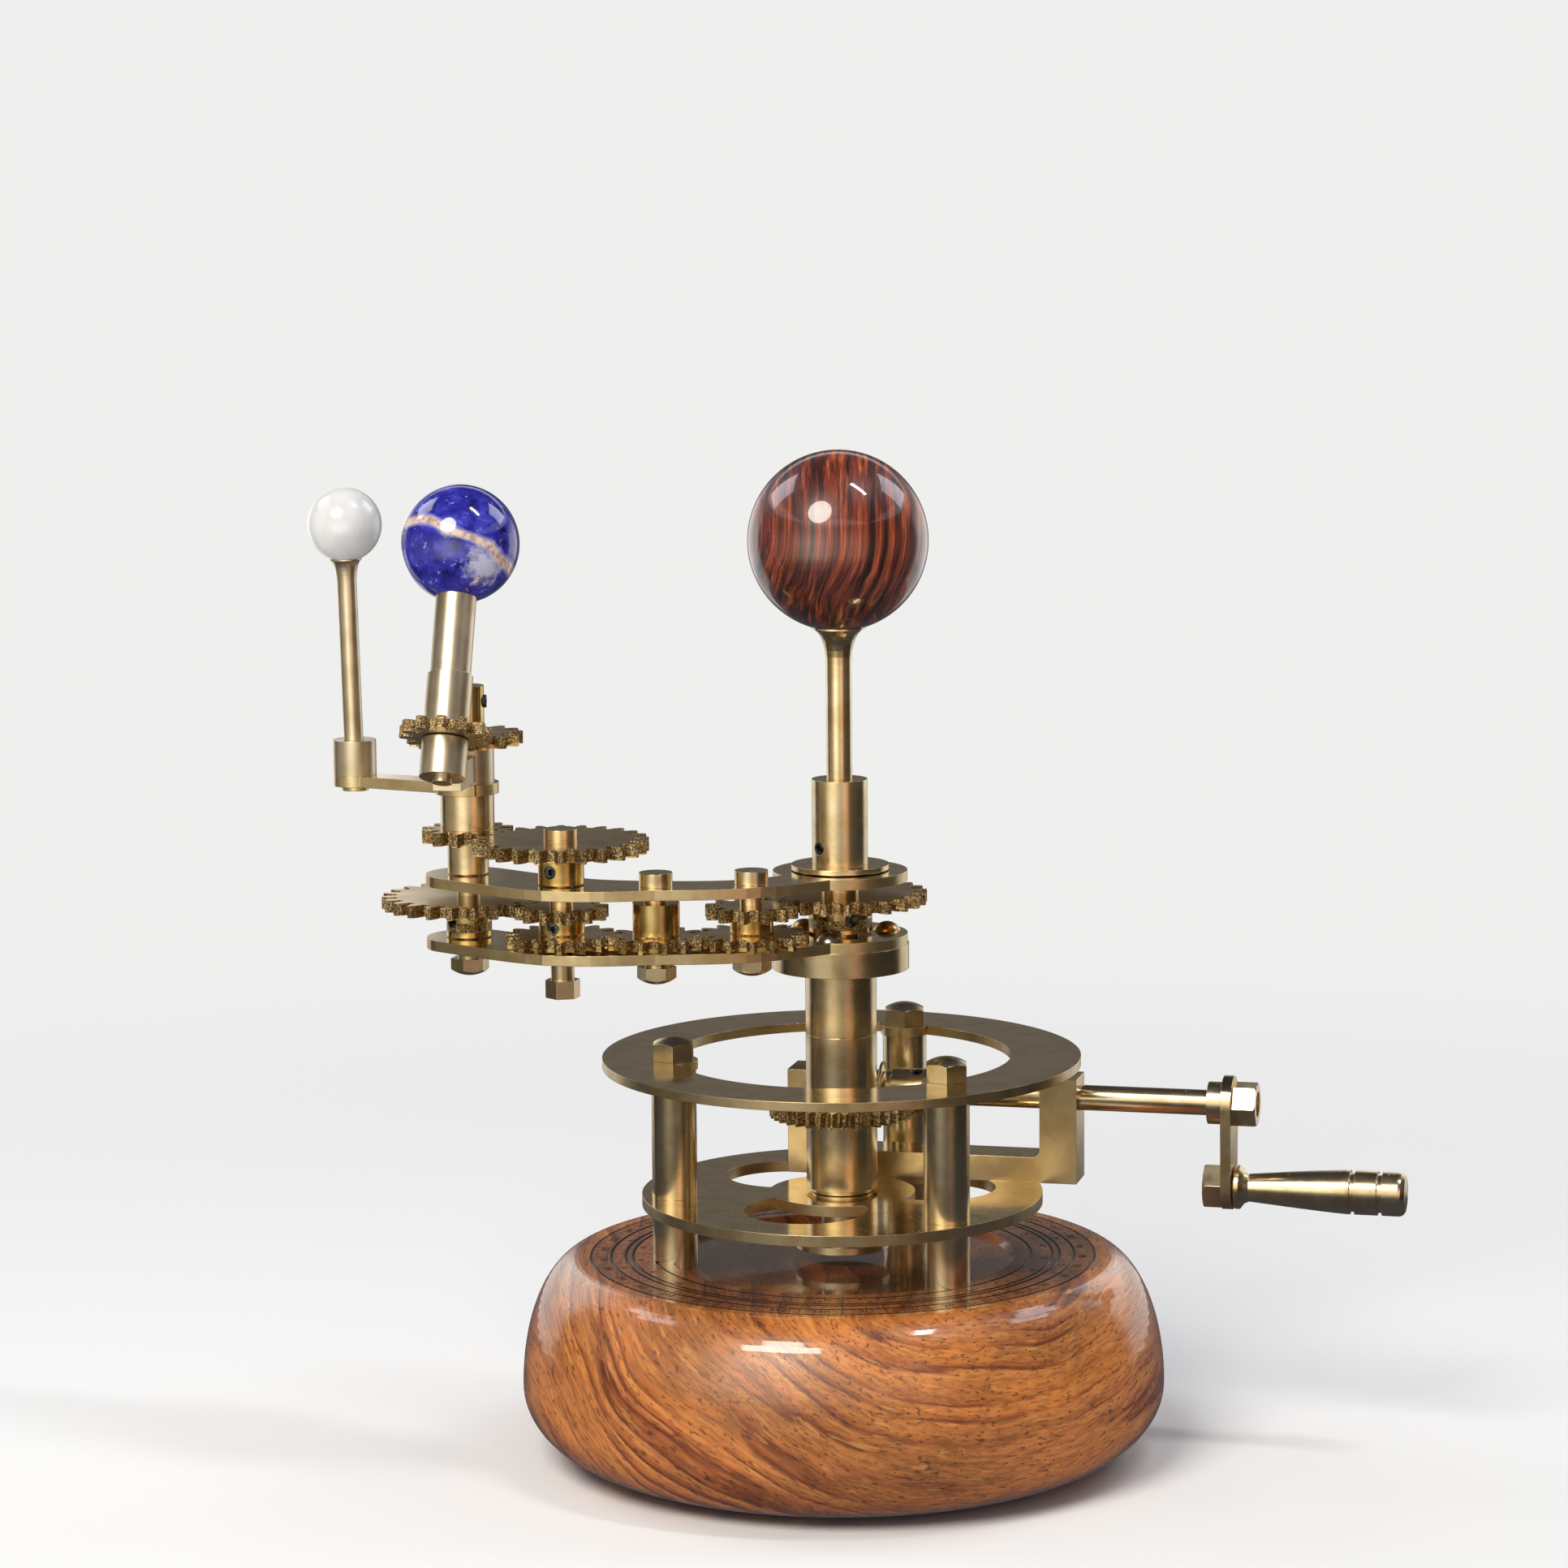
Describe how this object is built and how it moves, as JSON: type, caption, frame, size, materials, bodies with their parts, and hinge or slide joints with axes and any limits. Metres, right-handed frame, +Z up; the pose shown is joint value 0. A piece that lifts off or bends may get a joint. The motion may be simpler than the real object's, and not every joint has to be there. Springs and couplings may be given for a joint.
{
  "type": "hand-cranked orrery",
  "caption": "Brass orrery on a turned wooden base: a crank drives a geared arm that carries earth and moon balls round a central sun ball.",
  "frame": {"origin": "on the column's axis, at the underside of the wooden base", "axes": "+Z up along the column, +X towards the crank's side, -Y towards the front of the picture"},
  "size_m": [0.1797, 0.106, 0.1662],
  "materials": {
    "brass": "polished",
    "cut_brass": "milled",
    "steel": "machined",
    "oiled_wood": "gloss lacquer",
    "dark_wood": "gloss lacquer",
    "blue_stone": "polished",
    "white_stone": "polished"
  },
  "bodies": {
    "frame": {"wood_base": "oiled_wood", "base_nuts": "brass", "tie_rods": "brass", "pillar_feet": "brass", "pillars": "brass", "cap_nuts": "brass", "lower_plate": "brass", "ring_plate": "brass", "crank_bracket": "brass", "post_flange": "brass", "sun_post": "brass", "fixed_gear": "cut_brass", "post_washer": "brass", "sun_collar": "brass", "sun_stem": "brass", "sun_ball": "dark_wood", "frame_grub_screws": "steel"},
    "year_arm": {"column_tube": "brass", "column_bushes": "cut_brass", "worm_wheel": "cut_brass", "arm_flange": "brass", "lower_arm_plate": "brass", "upper_arm_plate": "brass", "flange_screws": "brass", "axle_1": "brass", "axle_2": "brass", "axle_nuts": "brass"},
    "crank": {"crank_shaft": "brass", "crank_end_ring": "steel", "worm": "cut_brass", "worm_grub_screw": "steel", "crank_lever": "brass", "crank_nut": "brass", "handle_axle": "brass"},
    "handle": {"handle_grip": "brass"},
    "first_idler": {"idler_1_upper_gear": "cut_brass", "idler_1_lower_gear": "cut_brass"},
    "second_idler": {"idler_2_gear": "cut_brass"},
    "layshaft_group": {"layshaft": "brass", "layshaft_nut": "brass", "layshaft_lower_gear": "cut_brass", "layshaft_middle_gear": "cut_brass", "layshaft_top_gear": "cut_brass", "layshaft_grub_screws": "steel"},
    "spin_group": {"spin_shaft": "brass", "spin_shaft_gear": "cut_brass", "spin_shaft_nut": "brass", "spin_drive_gear": "cut_brass", "spin_shaft_grub_screws": "steel"},
    "moon_carrier": {"moon_tube": "brass", "moon_pinion": "cut_brass", "moon_arm": "brass", "moon_collar": "brass", "moon_grub_screw": "steel", "moon_stem": "brass", "moon_ball": "white_stone", "tilt_carrier": "brass"},
    "earth": {"earth_spindle": "brass", "earth_gear": "cut_brass", "earth_ball": "blue_stone"}
  },
  "joints": [
    {"name": "arm_turn", "type": "hinge", "parent": "frame", "child": "year_arm", "pos_m": [0, 0, 0.0814], "axis": [0, 0, 1], "continuous": true},
    {"name": "crank_turn", "type": "hinge", "parent": "frame", "child": "crank", "pos_m": [0.00349, 0.0151, 0.058], "axis": [0.9744, -0.225, 0], "continuous": true},
    {"name": "handle_spin", "type": "hinge", "parent": "crank", "child": "handle", "pos_m": [0.06477, 0.00095, 0.044], "axis": [0.9744, -0.225, 0], "continuous": true},
    {"name": "first_idler_turn", "type": "hinge", "parent": "year_arm", "child": "first_idler", "pos_m": [-0.01424, -0.01375, 0.0876], "axis": [0, 0, 1], "continuous": true},
    {"name": "second_idler_turn", "type": "hinge", "parent": "year_arm", "child": "second_idler", "pos_m": [-0.02956, -0.01534, 0.0876], "axis": [0, 0, 1], "continuous": true},
    {"name": "layshaft_turn", "type": "hinge", "parent": "year_arm", "child": "layshaft_group", "pos_m": [-0.04483, -0.01335, 0.0876], "axis": [0, 0, 1], "continuous": true},
    {"name": "spin_turn", "type": "hinge", "parent": "year_arm", "child": "spin_group", "pos_m": [-0.06067, -0.00147, 0.0876], "axis": [0, 0, 1], "continuous": true},
    {"name": "moon_turn", "type": "hinge", "parent": "year_arm", "child": "moon_carrier", "pos_m": [-0.06067, -0.00147, 0.0976], "axis": [0, 0, 1], "continuous": true},
    {"name": "earth_turn", "type": "hinge", "parent": "moon_carrier", "child": "earth", "pos_m": [-0.06278, -0.01576, 0.12253], "axis": [0.0583, 0.3945, 0.9171], "continuous": true}
  ],
  "couplings": [
    {"joint": "crank_turn", "follows": "arm_turn", "ratio": 36},
    {"joint": "first_idler_turn", "follows": "arm_turn", "ratio": 2},
    {"joint": "second_idler_turn", "follows": "arm_turn", "ratio": -2.3077},
    {"joint": "layshaft_turn", "follows": "arm_turn", "ratio": 2},
    {"joint": "spin_turn", "follows": "arm_turn", "ratio": -1},
    {"joint": "moon_turn", "follows": "arm_turn", "ratio": -4},
    {"joint": "earth_turn", "follows": "arm_turn", "ratio": -3.75}
  ]
}
